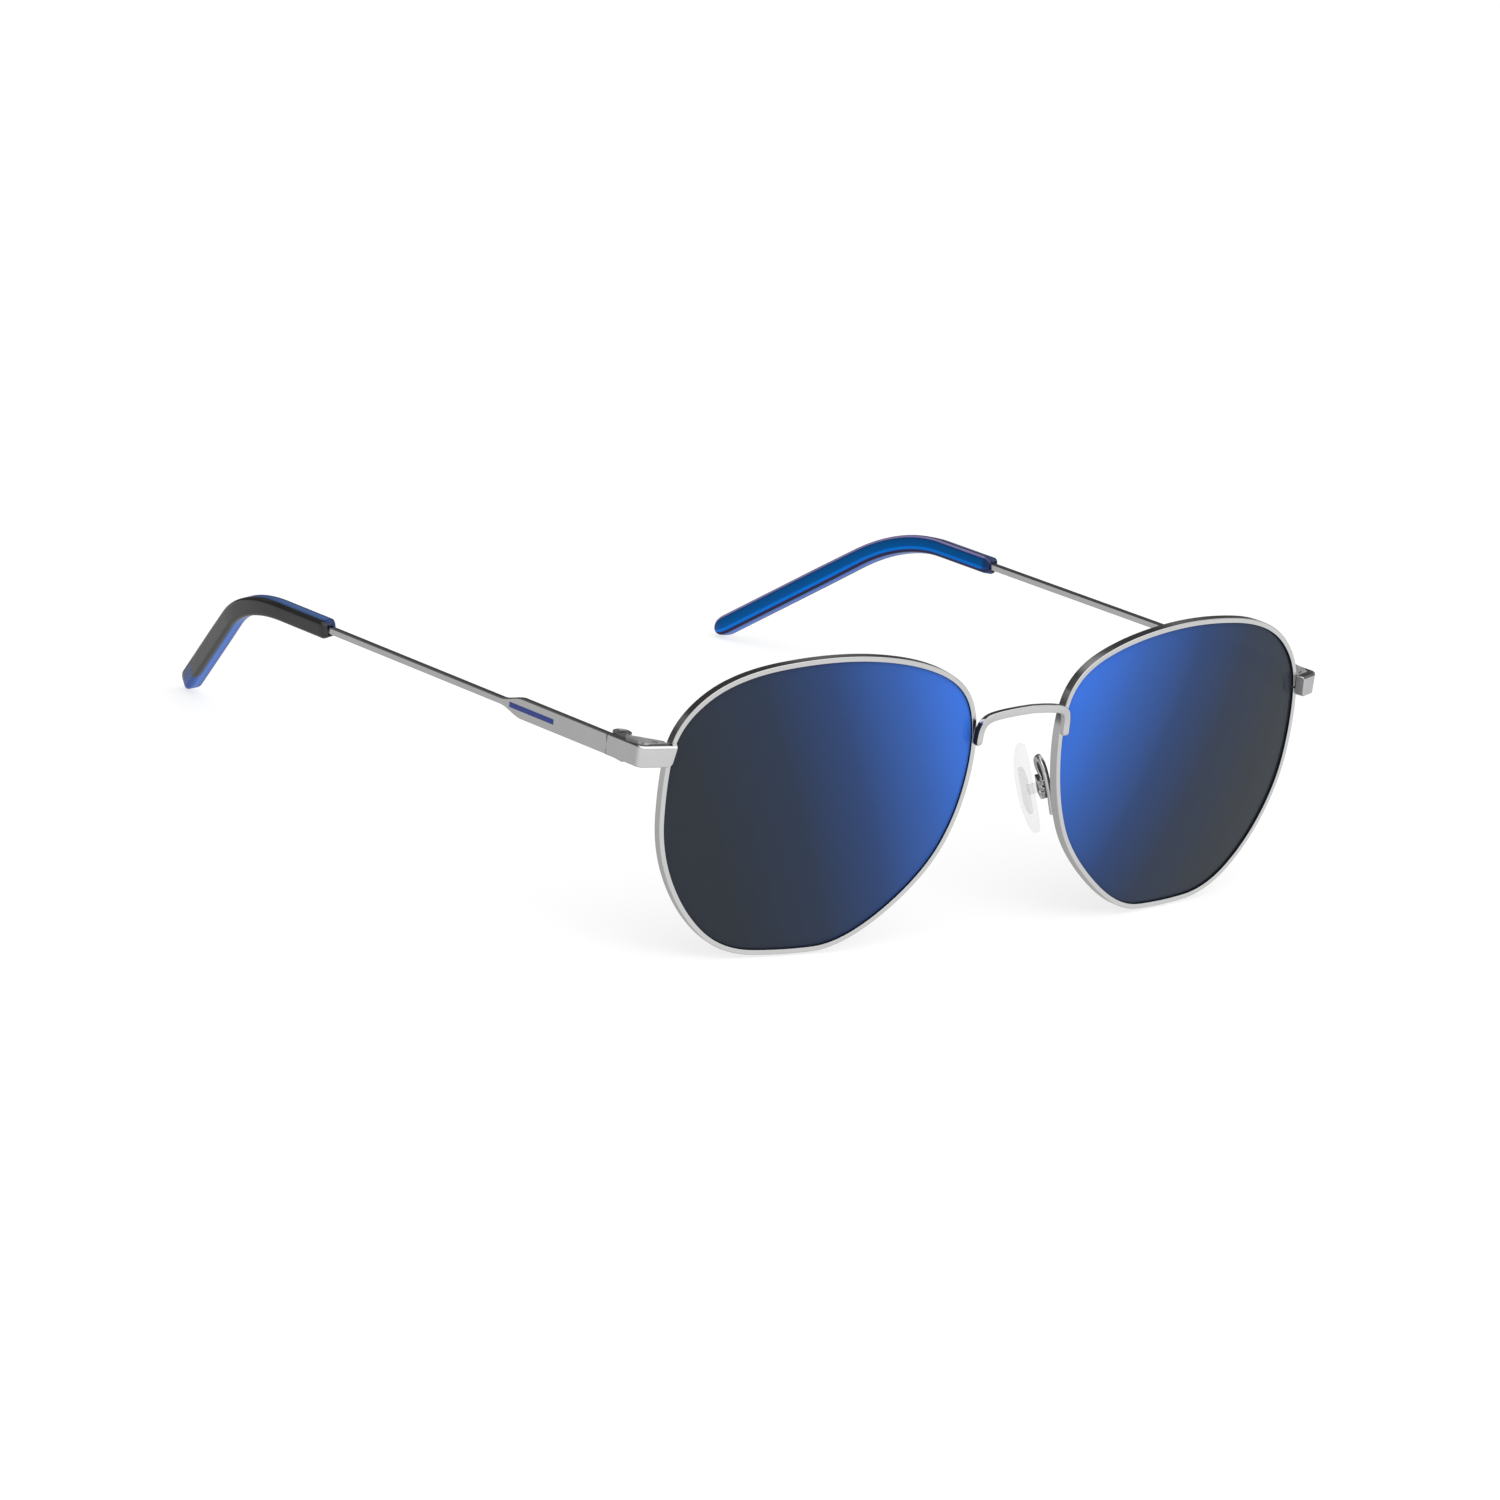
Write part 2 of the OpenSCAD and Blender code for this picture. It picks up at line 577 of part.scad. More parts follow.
module nose_pad() {
    function half_w(k) = pad_w / 2 * pow(1 - pow(abs(k), 2.6), 1 / 2.2) * (1 - 0.08 * k);
    function pad_ring(k) = [
        for (a = [340 : -20 : 0])
            let (w = max(half_w(k), 0.35), t = pad_t / 2 * (0.35 + 0.65 * sqrt(1 - k * k * 0.98)))
                [-pad_out + t * cos(a) + 0.5 * k * k, w * sin(a), pad_rise + k * pad_len / 2]
    ];
    color(pad_clear)
        at_pad()
            difference() {
                bar([for (k = [-pad_rows : pad_rows]) pad_ring(sin(90 * k / pad_rows))]);
                translate([-pad_out - core_plate[0] / 2 - seat, -core_plate[1] / 2 - seat,
                    -core_plate[2] / 2 - seat])
                    cube([core_plate[0] + 2 * seat, core_plate[1] + 2 * seat,
                        core_plate[2] + 2 * seat]);
                translate([-pad_out, -pad_tongue_t / 2 - seat, -0.65 - seat])
                    cube([pad_out, pad_tongue_t + 2 * seat, 1.3 + 2 * seat]);
            }
}

// ---- standing on a table ----------------------------------------------------------------------
// The lowest points of the rims and of the tips carry the glasses, once they lean by front_lean
function leaned(q, lean) = [q[0], q[1] * cos(lean) - q[2] * sin(lean), q[1] * sin(lean) + q[2] * cos(lean)];
function lowest(points, lean) = let (z = min([for (q = points) leaned(q, lean)[2]]))
    [for (q = points) if (leaned(q, lean)[2] == z) q][0];
rim_bottom = [for (i = [0 : len(opening) - 1]) rim_point(i, rim_w, rim_edge)];
tip_surface = [for (r = sleeve_rings) each r];
function lean_from(lean) = let (r = lowest(rim_bottom, lean), t = lowest(tip_surface, lean))
    atan2(r[2] - t[2], t[1] - r[1]);
front_lean = lean_from(lean_from(0));
stand_z = -leaned(lowest(rim_bottom, front_lean), front_lean)[2];
// Halfway between the front of the bridge and the ends of the tips
stand_y = -(min([for (r = bridge_rings, q = r) leaned(q, front_lean)[1]])
    + max([for (q = tip_surface) leaned(q, front_lean)[1]])) / 2;
module stand() {
    translate([0, stand_y, stand_z]) rotate([front_lean, 0, 0]) children();
}
module left() { stand() children(); }
module right() { stand() mirror([1, 0, 0]) children(); }

left() rim();  // left_rim
right() rim();  // right_rim
left() lens();  // left_lens
right() lens();  // right_lens
stand() bridge();
left() end_piece();  // left_end_piece
right() end_piece();  // right_end_piece
left() upper_lock();  // left_upper_lock
right() upper_lock();  // right_upper_lock
left() lower_lock();  // left_lower_lock
right() lower_lock();  // right_lower_lock
left() lock_screw();  // left_lock_screw
right() lock_screw();  // right_lock_screw
left() front_knuckles();  // left_front_knuckles
right() front_knuckles();  // right_front_knuckles
left() hinge_screw();  // left_hinge_screw
right() hinge_screw();  // right_hinge_screw
left() pad_arm();  // left_pad_arm
right() pad_arm();  // right_pad_arm
left() pad_box();  // left_pad_box
right() pad_box();  // right_pad_box
left() pad_screw();  // left_pad_screw
right() pad_screw();  // right_pad_screw
left() pad_core();  // left_pad_core
right() pad_core();  // right_pad_core
left() nose_pad();  // left_nose_pad
right() nose_pad();  // right_nose_pad
left() temple();  // left_temple
right() temple();  // right_temple
left() temple_knuckle();  // left_temple_knuckle
right() temple_knuckle();  // right_temple_knuckle
left() stripe();  // left_stripe
right() stripe();  // right_stripe
left() tip();  // left_tip
right() tip();  // right_tip
left() tip_skin();  // left_tip_skin
right() tip_skin();  // right_tip_skin
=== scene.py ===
"""Full-rim metal sunglasses with mirror lenses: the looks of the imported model.

Every piece is drawn in the CAD's design frame: millimetres, with the origin midway between
the lens centres on the plane that touches both lens fronts, +X to the wearer's left, +Y back
to the ears and +Z up. Each is drawn for the wearer's left and mirrored to the right.
"""

import json
import math

import bmesh
import bpy
from mathutils import Matrix, Vector


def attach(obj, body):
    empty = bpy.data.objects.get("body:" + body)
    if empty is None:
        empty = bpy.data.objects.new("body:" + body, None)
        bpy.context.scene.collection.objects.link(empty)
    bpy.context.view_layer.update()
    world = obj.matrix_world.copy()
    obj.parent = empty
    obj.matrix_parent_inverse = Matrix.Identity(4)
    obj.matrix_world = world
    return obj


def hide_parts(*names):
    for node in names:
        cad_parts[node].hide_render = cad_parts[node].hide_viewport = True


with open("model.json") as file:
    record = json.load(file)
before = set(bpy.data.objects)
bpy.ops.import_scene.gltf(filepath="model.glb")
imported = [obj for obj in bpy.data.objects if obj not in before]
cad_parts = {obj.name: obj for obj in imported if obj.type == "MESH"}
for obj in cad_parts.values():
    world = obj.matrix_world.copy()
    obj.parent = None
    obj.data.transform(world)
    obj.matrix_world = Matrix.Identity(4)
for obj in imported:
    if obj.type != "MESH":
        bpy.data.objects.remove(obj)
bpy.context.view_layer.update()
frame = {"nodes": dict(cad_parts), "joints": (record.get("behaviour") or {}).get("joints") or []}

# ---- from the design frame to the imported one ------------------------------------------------
hinge = Vector((66.6, 15, 0))             # left temple's fold axis, in the design frame
fold = next(j for j in frame["joints"] if j["name"] == "left_temple_fold")
lean = Matrix.Rotation(math.atan2(-fold["axis"][1], fold["axis"][2]), 4, "X")
stand = (Matrix.Translation(fold["pos_m"]) @ lean @ Matrix.Scale(0.001, 4)
         @ Matrix.Translation(-hinge))

# ---- dimensions, in millimetres ---------------------------------------------------------------
lens_spacing, lens_radius, lens_wrap = 75, 132, math.radians(7)
# Guide corners of the left rim's opening, (towards the temple, up) from the lens centre.
# The opening touches each side of the guide at its middle.
lens_guide = [
    (27, 3.5), (26, 13), (17, 20.5), (0, 23), (-15, 21.5), (-25.5, 17), (-28.5, 9),
    (-27, -3.5), (-22, -13.5), (-9, -24), (1.5, -24.5), (12.5, -24), (20.5, -17.5), (26, -7.5),
]
lens_front, lens_back = 0.38, 1.8         # lens faces behind the front of the rim
rim_w, rim_depth, groove_depth = 0.8, 1.55, 0.35
rim_slit = 0.3                            # cut in the rim between its two lock blocks
bridge_h, bridge_depth = 1.3, 1.2
bridge_line = [
    (0, -2.25, 13.25), (3, -2.1, 13.05), (5.8, -1.7, 12.6), (7.5, -1.28, 12),
    (8.4, -1.03, 11.1), (8.75, -0.9, 10), (8.84, -0.87, 8.7), (8.88, -0.92, 7.5),
]
end_start = Vector((64.2, 4.67))
end_angle, end_bend_r = math.radians(28), 1.5
end_h, end_t, end_back_t, end_slant = 3.4, 1.4, 1.1, 0.16
end_z = (8.73, 8.25, 7.62)                # height of its centre line: start, bend, back
side_x, seam_y = 69.2, 15.25
half_seam = 0.008                         # left open on each side of the temple's seam
temple_slope, temple_t, temple_z = math.radians(5), 1.1, 7.65
panel_h, wire_h, panel_end, wire_start = 3.3, 1.1, 21.8, 27.4
stripe_from, stripe_len, stripe_h, stripe_depth = 13.6, 11.3, 0.85, 0.3
tip_start, tip_straight, tip_leg, ear_bend_r = 73, 12.8, 31.9, 28.5
tip_drop, tip_yaw = math.radians(38.7), math.radians(23.4)
tip_h, tip_end_h, tip_t, tip_nose = 2.9, 3.3, 2.8, 2.8
tip_tilt = math.radians(12)               # the sleeve's top leans out
skin_from = 0.6                           # dark skin, from the sleeve's middle outwards
tip_rings, tip_nose_rings, tip_corner_steps = 70, 21, 8
pad_screw_at = Vector((11.8, 5.5, -3.5))
pad_lean, pad_splay = math.radians(22), math.radians(25)
pad_len, pad_w, pad_t, pad_out, pad_rise = 16, 7.3, 2.6, 2.55, 0.35
arm_d = 0.9
arm_line = [
    (11.4, 1.4, -6.6), (10.95, 1.5, -5.2), (10.35, 1.65, -3.2), (9.6, 1.85, -1.2),
    (9, 2.15, 0.5), (8.75, 3, 1.8), (8.9, 4.1, 2.2), (9.35, 4.9, 1.4), (10.2, 5.3, 0.1),
    (11.5, 5.45, -1.6),
]
box_back, box_front, box_w, box_len, box_wall = 0.95, -0.55, 2.4, 3.4, 0.45

# ---- curves, sections and swept bars ----------------------------------------------------------
up_z = Vector((0, 0, 1))


def clamp(x):
    return max(0.0, min(1.0, x))


def smooth(x):
    x = clamp(x)
    return x * x * (3 - 2 * x)


def curve_at(a, b, c, d, t):
    return (2 * b + (c - a) * t + (2 * a - 5 * b + 4 * c - d) * t ** 2
            + (3 * b - a - 3 * c + d) * t ** 3) / 2


def guided_curve(corners, steps):
    """A smooth closed curve inside a polygon, touching each of its sides at the middle."""
    p, n = [Vector(q) for q in corners], len(corners)
    curve = []
    for i in range(n):
        start, end = (p[i - 1] + p[i]) / 2, (p[i] + p[(i + 1) % n]) / 2
        for k in range(steps):
            t = k / steps
            curve.append(start * (1 - t) ** 2 + 2 * p[i] * t * (1 - t) + end * t * t)
    return curve


def open_curve(points, steps):
    p = [Vector(q) for q in points]
    p = [2 * p[0] - p[1]] + p + [2 * p[-1] - p[-2]]
    line = [curve_at(*p[i:i + 4], k / steps) for i in range(len(p) - 3) for k in range(steps)]
    return line + [p[-2]]


def tangent(line, i):
    return (line[min(i + 1, len(line) - 1)] - line[max(i - 1, 0)]).normalized()


def rounded(corners, steps=4):
    """A closed section whose corners, (x, y, how far the rounding reaches), are rounded."""
    section = []
    for i, (x, y, r) in enumerate(corners):
        corner = Vector((x, y))
        last = (Vector(corners[i - 1][:2]) - corner).normalized() * r
        following = (Vector(corners[(i + 1) % len(corners)][:2]) - corner).normalized() * r
        count = steps if r else 0
        for k in range(count + 1):
            t = k / steps if r else 0
            section.append(corner + last * (1 - t) ** 2 + following * t * t)
    return section


def rectangle(w, h, r, steps=4):
    return rounded([(w / 2, h / 2, r), (-w / 2, h / 2, r), (-w / 2, -h / 2, r),
                    (w / 2, -h / 2, r)], steps)


def ring(p, t, section, up_ref=up_z):
    """Section points (sideways, up) round p, square to the direction t."""
    side = t.cross(up_ref).normalized()
    up = side.cross(t)
    return [p + s[0] * side + s[1] * up for s in section]


def swept(rings, loop=False):
    """Vertices and faces of a bar through rings that have the same number of points."""
    n, m = len(rings[0]), len(rings)
    faces = []
    for i in range(m if loop else m - 1):
        j = (i + 1) % m
        for k in range(n):
            following = (k + 1) % n
            faces.append((i * n + k, i * n + following, j * n + following, j * n + k))
    if not loop:
        faces += [tuple(range(n - 1, -1, -1)), tuple((m - 1) * n + k for k in range(n))]
    return [p for r in rings for p in r], faces


def piece(name, shape, materials, side=1, marks=None, face_slots=None, sharp=34):
    """A mesh object from (vertices, faces), with float marks on its vertices for materials."""
    points, faces = shape
    mesh = bpy.data.meshes.new(name)
    mesh.from_pydata([stand @ Vector((side * p[0], p[1], p[2])) for p in points], [], faces)
    for mark, values in (marks or {}).items():
        mesh.attributes.new(mark, "FLOAT", "POINT").data.foreach_set("value", values)
    for material in materials:
        mesh.materials.append(material)
    if face_slots:
        mesh.polygons.foreach_set("material_index", face_slots)
    bm = bmesh.new()
    bm.from_mesh(mesh)
    bmesh.ops.remove_doubles(bm, verts=bm.verts, dist=1e-7)
    bmesh.ops.dissolve_degenerate(bm, edges=bm.edges, dist=1e-7)
    bmesh.ops.recalc_face_normals(bm, faces=bm.faces)
    bm.to_mesh(mesh)
    bm.free()
    mesh.shade_smooth()
    mesh.set_sharp_from_angle(angle=math.radians(sharp))
    obj = bpy.data.objects.new(name, mesh)
    bpy.context.collection.objects.link(obj)
    weighted = obj.modifiers.new("flat faces", "WEIGHTED_NORMAL")
    weighted.keep_sharp = True
    return obj


def joined(shapes):
    """Several (vertices, faces) shapes as one."""
    points, faces = [], []
    for more_points, more_faces in shapes:
        start = len(points)
        points += more_points
        faces += [tuple(k + start for k in f) for f in more_faces]
    return points, faces


def stands_for(obj, node, body):
    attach(obj, body)
    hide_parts(node)


# ---- materials --------------------------------------------------------------------------------
def new_material(name, color, roughness, metallic=0.0, **sockets):
    material = bpy.data.materials.new(name)
    material.use_nodes = True
    shader = material.node_tree.nodes["Principled BSDF"]
    shader.inputs["Base Color"].default_value = (*color, 1)
    shader.inputs["Roughness"].default_value = roughness
    shader.inputs["Metallic"].default_value = metallic
    for socket, value in sockets.items():
        shader.inputs[socket.replace("_", " ")].default_value = value
    return material


def add_node(material, kind, **settings):
    node = material.node_tree.nodes.new(kind)
    for name, value in settings.items():
        setattr(node, name, value)
    return node


def link(material, output, target):
    material.node_tree.links.new(output, target)


def noise(material, scale, stretch=(1, 1, 1), detail=3.0):
    """Noise in object coordinates. scale is in cycles per millimetre."""
    coordinates = add_node(material, "ShaderNodeTexCoord")
    mapping = add_node(material, "ShaderNodeMapping")
    mapping.inputs["Scale"].default_value = [scale * 1000 * s for s in stretch]
    texture = add_node(material, "ShaderNodeTexNoise")
    texture.inputs["Scale"].default_value = 1
    texture.inputs["Detail"].default_value = detail
    link(material, coordinates.outputs["Object"], mapping.inputs["Vector"])
    link(material, mapping.outputs["Vector"], texture.inputs["Vector"])
    return texture.outputs["Fac"]


def spread(material, value, from_range, to_range):
    node = add_node(material, "ShaderNodeMapRange")
    for socket, number in zip(("From Min", "From Max", "To Min", "To Max"),
                              (*from_range, *to_range)):
        node.inputs[socket].default_value = number
    link(material, value, node.inputs["Value"])
    return node.outputs["Result"]


def ramp(material, value, stops):
    """A colour ramp over stops of (position from 0 to 1, linear colour)."""
    node = add_node(material, "ShaderNodeValToRGB")
    elements = node.color_ramp.elements
    while len(elements) < len(stops):
        elements.new(0.5)
    for element, (position, color) in zip(elements, stops):
        element.position = position
        element.color = (*color, 1)
    link(material, value, node.inputs["Fac"])
    return node.outputs["Color"]


def surface(material, roughness_noise, roughness_range, bump_noise, bump_depth):
    """Uneven roughness, and a bump of bump_depth millimetres."""
    shader = material.node_tree.nodes["Principled BSDF"]
    link(material, spread(material, roughness_noise, (0.3, 0.7), roughness_range),
         shader.inputs["Roughness"])
    bump = add_node(material, "ShaderNodeBump")
    bump.inputs["Strength"].default_value = 1
    bump.inputs["Distance"].default_value = bump_depth / 1000
    link(material, bump_noise, bump.inputs["Height"])
    link(material, bump.outputs["Normal"], shader.inputs["Normal"])


def tinted(material, value, stops):
    """The base colour from a ramp over a value from 0 to 1."""
    shader = material.node_tree.nodes["Principled BSDF"]
    link(material, ramp(material, value, stops), shader.inputs["Base Color"])


def linear(r, g, b):
    """Linear colour of an sRGB colour from 0 to 255."""
    return tuple(((c / 255 + 0.055) / 1.055) ** 2.4 for c in (r, g, b))


def metal(name, level, roughness_range, grain, depth):
    """Plated metal with a slightly uneven polish and a fine, lengthwise grain."""
    material = new_material(name, (level, level, level * 0.99), roughness_range[0], metallic=1.0)
    surface(material, noise(material, 0.7), roughness_range,
            noise(material, grain, stretch=(1, 0.25, 1)), depth)
    tinted(material, noise(material, 0.15),
           [(0.3, [level * 0.96] * 3), (0.7, [level] * 3)])
    return material


silver = metal("silver_satin", 0.82, (0.12, 0.17), 5, 0.0004)
polished = metal("polished_steel", 0.85, (0.06, 0.12), 8, 0.0003)
edge_metal = metal("satin_edge", 0.85, (0.5, 0.6), 5, 0.0004)
# Painted shade: near-black on the rim's inner wall and on the lens side of the bridge legs, where
# shade falls.
painted_shade_dark = new_material("painted_shade_in_gaps", (0.012, 0.012, 0.014), 0.5, Specular_IOR_Level=0.3)
surface(painted_shade_dark, noise(painted_shade_dark, 1), (0.4, 0.6), noise(painted_shade_dark, 6), 0.001)


def lens_materials():
    """The mirrored front, blue by the nose and slate by the temple and darker towards the bottom,
    which is the coating's tint with a painted reflection of the studio; and the grey back.
    """
    front = new_material("lens_mirror", (0.05, 0.09, 0.2), 0.05, IOR=1.25, Alpha=0.96)
    across = add_node(front, "ShaderNodeAttribute", attribute_name="across")
    upward = add_node(front, "ShaderNodeAttribute", attribute_name="upward")
    # The gradient is a painted reflection with the coating's tint, slanted so that it is darker
    # towards the bottom.
    slanted = add_node(front, "ShaderNodeMath", operation="MULTIPLY_ADD")
    slanted.inputs[1].default_value = -0.45
    link(front, upward.outputs["Fac"], slanted.inputs[0])
    link(front, across.outputs["Fac"], slanted.inputs[2])
    reach = 36                            # millimetres each way from the lens centre
    place = spread(front, slanted.outputs["Value"], (-reach, reach), (0, 1))
    tint_and_reflection_colors = [(-32, (56, 114, 220)), (-20, (50, 90, 165)), (-8, (42, 66, 112)),
              (4, (42, 54, 76)), (20, (44, 50, 58))]
    tinted(front, place,
           [((at + reach) / (2 * reach), linear(*color)) for at, color in tint_and_reflection_colors])
    surface(front, noise(front, 0.1), (0.03, 0.06), noise(front, 0.08, detail=1), 0.0008)
    back = new_material("lens_back", (0.035, 0.037, 0.042), 0.06, Alpha=0.93)
    tinted(back, noise(back, 0.05), [(0.3, (0.03, 0.033, 0.038)), (0.7, (0.036, 0.038, 0.043))])
    surface(back, noise(back, 0.1), (0.04, 0.08), noise(back, 0.08, detail=1), 0.0008)
    return front, back


lens_mirror, lens_grey = lens_materials()

enamel = new_material("blue_enamel", linear(24, 50, 138), 0.3, Coat_Weight=0.4)
surface(enamel, noise(enamel, 1), (0.25, 0.38), noise(enamel, 2), 0.003)
tinted(enamel, noise(enamel, 0.6), [(0.3, linear(22, 46, 130)), (0.7, linear(28, 54, 146))])

skin_black = new_material("black_acetate", linear(38, 38, 39), 0.22, Coat_Weight=0.25)
surface(skin_black, noise(skin_black, 0.5), (0.17, 0.27), noise(skin_black, 5), 0.001)
tinted(skin_black, noise(skin_black, 0.25), [(0.3, linear(34, 34, 35)), (0.7, linear(41, 41, 42))])


def tip_material():
    """Translucent blue acetate, painted: light gathered along the edges of its inner face is a
    painted glow, with painted highlight lines and painted shade lines along the edges, and painted
    shade at the mouth and near the end.
    """
    material = new_material("blue_acetate", (0.02, 0.2, 0.55), 0.12, Coat_Weight=0.08,
                            Specular_IOR_Level=0.25)
    around = add_node(material, "ShaderNodeAttribute", attribute_name="around")
    deep = add_node(material, "ShaderNodeAttribute", attribute_name="deep")
    # Painted light round the section: painted highlight lines (lavender) on the upper and lower
    # inner edges, painted dark shade lines beside them, and a painted azure glow low on the inner
    # face.
    painted_light_ramp = ramp(material, around.outputs["Fac"], [
        (0.0, linear(28, 36, 58)), (0.03, linear(58, 88, 140)), (0.12, linear(70, 104, 158)),
        (0.18, linear(60, 84, 140)), (0.2, linear(24, 18, 40)), (0.262, linear(34, 26, 56)),
        (0.28, linear(140, 132, 180)), (0.31, linear(134, 126, 176)), (0.335, linear(8, 50, 100)),
        (0.37, linear(0, 78, 138)), (0.57, linear(0, 86, 158)), (0.62, linear(0, 122, 226)),
        (0.655, linear(0, 110, 214)), (0.69, linear(26, 26, 66)), (0.73, linear(38, 32, 66)),
        (0.765, linear(120, 120, 155)), (0.79, linear(60, 100, 185)), (0.83, linear(38, 92, 185)),
        (0.93, linear(50, 118, 215)), (1.0, linear(36, 80, 165))])
    # Painted shade: dark navy mixed in where the deep mark is high, at the mouth and on the outer
    # side near the end.
    mix = add_node(material, "ShaderNodeMix", data_type="RGBA")
    link(material, deep.outputs["Fac"], mix.inputs["Factor"])
    link(material, painted_light_ramp, mix.inputs["A"])
    mix.inputs["B"].default_value = (*linear(28, 42, 84), 1)
    link(material, mix.outputs["Result"],
         material.node_tree.nodes["Principled BSDF"].inputs["Base Color"])
    surface(material, noise(material, 0.4), (0.08, 0.16), noise(material, 3), 0.001)
    return material


tip_blue = tip_material()


def clear_material(name, level, alpha):
    """Clear plastic or silicone, seen as a faint grey veil."""
    material = new_material(name, (level, level, level), 0.15, Alpha=alpha, Specular_IOR_Level=0.35)
    tinted(material, noise(material, 0.35), [(0.3, [level * 0.9] * 3), (0.7, [level] * 3)])
    surface(material, noise(material, 0.6), (0.1, 0.2), noise(material, 0.8), 0.0008)
    return material


silicone = clear_material("clear_silicone", 0.5, 0.1)
clear_core = clear_material("clear_core", 0.4, 0.14)

# ---- rims and lenses ----------------------------------------------------------------------------
outline_steps = 12
opening = guided_curve(lens_guide, outline_steps)
count = len(opening)


def outward(i):
    d = (opening[(i + 1) % count] - opening[i - 1]).normalized()
    return Vector((d.y, -d.x))


def from_lens(u, v, back):
    """From lens coordinates, towards the temple, up and back, to the design frame."""
    w = (u * u + v * v) / (2 * lens_radius) + back
    return Vector((lens_spacing / 2 + u * math.cos(lens_wrap) - w * math.sin(lens_wrap),
                   u * math.sin(lens_wrap) + w * math.cos(lens_wrap), v))


def rim_point(i, out, back):
    i %= count
    q = opening[i] + out * outward(i)
    lift = (q.dot(q) - opening[i].dot(opening[i])) / (2 * lens_radius)
    return from_lens(q.x, q.y, back - lift)


groove_from = rim_depth / 2 - 0.1 - groove_depth * 1.15
rim_section = rounded([
    (0, 0, 0.05), (rim_w, 0, 0.16), (rim_w, rim_depth, 0.16), (0, rim_depth, 0.05),
    (0, rim_depth - groove_from, 0), (groove_depth, rim_depth / 2 + 0.1, 0),
    (groove_depth, rim_depth / 2 - 0.1, 0), (0, groove_from, 0)])


def make_rim(side, name):
    first = outline_steps                 # the cut lies between the first two guide corners
    rings = []
    for i in range(count + 1):
        shift = rim_slit / 2 * ((i == 0) - (i == count)) * up_z
        rings.append([rim_point(i + first, s.x, s.y) + shift for s in rim_section])
    shape = swept(rings)
    n = len(rim_section)
    # Faces of the rim's inner wall, which take the painted shade.
    inside = [int(max(rim_section[k].x, rim_section[(k + 1) % n].x) <= groove_depth
                  and min(rim_section[k].y, rim_section[(k + 1) % n].y) > 0.03
                  and max(rim_section[k].y, rim_section[(k + 1) % n].y) < rim_depth - 0.03)
              for k in range(n)]
    slots = inside * count + [0, 0]
    rim = piece(f"{name}_rim_visual", shape, [silver, painted_shade_dark], side, face_slots=slots)
    stands_for(rim, f"{name}_rim", "front")


def make_lens(side, name):
    shares = [0.02] + [k / 14 for k in range(1, 15)]
    rings, marks, slots = [], [], []

    def face(share, back, slot):
        points = [(opening[i] - 0.04 * outward(i)) * share for i in range(count)]
        rings.append([from_lens(q.x, q.y, back) for q in points])
        marks.extend((q.x, q.y) for q in points)
        slots.append(slot)

    def edge(out, back):
        rings.append([rim_point(i, out, back) for i in range(count)])
        marks.extend((opening[i].x, opening[i].y) for i in range(count))
        slots.append(1)

    for share in shares:
        face(share, lens_front, 0)
    edge(-0.03, lens_front + 0.06)
    edge(groove_depth - 0.05, rim_depth / 2 - 0.08)
    edge(groove_depth - 0.05, rim_depth / 2 + 0.08)
    edge(-0.04, rim_depth - groove_from)
    for share in reversed(shares):
        face(share, lens_back, 1)
    face_slots = [slots[i + 1] for i in range(len(rings) - 1) for _ in range(count)] + [0, 1]
    lens = piece(f"{name}_lens_visual", swept(rings), [lens_mirror, lens_grey], side,
                 {"across": [m[0] for m in marks], "upward": [m[1] for m in marks]}, face_slots,
                 sharp=20)
    stands_for(lens, f"{name}_lens", "front")


# ---- bridge -------------------------------------------------------------------------------------
def make_bridge():
    d, h, bevel = bridge_depth, bridge_h / 2, 0.34
    leg_top = 11.3                        # the legs, below this height, get painted shade on the lens side
    section = rounded([
        (-d / 2, -h, 0.15), (d / 2 - bevel, -h, 0.12), (d / 2, -h + bevel, 0.12),
        (d / 2, h - bevel, 0.1), (d / 2 - bevel, h, 0.1), (-d / 2, h, 0.15)])
    half = open_curve(bridge_line, 9)
    line = [Vector((-q.x, q.y, q.z)) for q in reversed(half[1:])] + half
    rings = []

    def add_ring(i, past=0.0, scale=1.0):
        t = tangent(line, i)
        up = Vector((0, -1, 0)).cross(t).normalized()
        away = up.cross(t)
        rings.append([line[i] + t * past + s.x * away * (0.35 + 0.65 * scale)
                      + s.y * up * scale for s in section])

    r = bridge_h / 2
    rounding = [(r * (1 - math.sin(a)), math.cos(a)) for a in (1.45, 1.25, 1.0, 0.75, 0.5, 0.25)]
    for back_from_end, scale in rounding:
        add_ring(0, back_from_end, scale)
    for i in range(len(line)):
        if min(i, len(line) - 1 - i) * 0.15 > r:
            add_ring(i)
    for back_from_end, scale in reversed(rounding):
        add_ring(len(line) - 1, -back_from_end, scale)
    shape = swept(rings)
    n = len(section)
    # Faces of the legs below leg_top on the lens side take the painted shade.
    slots = []
    for face in shape[1]:
        middle = sum((shape[0][k] for k in face), Vector()) / len(face)
        beside = [section[k % n].y for k in face]
        slots.append(int(middle.z < leg_top and sum(beside) / len(beside) > h * 0.55))
    bridge = piece("bridge_visual", shape, [silver, painted_shade_dark], face_slots=slots)
    stands_for(bridge, "bridge", "front")


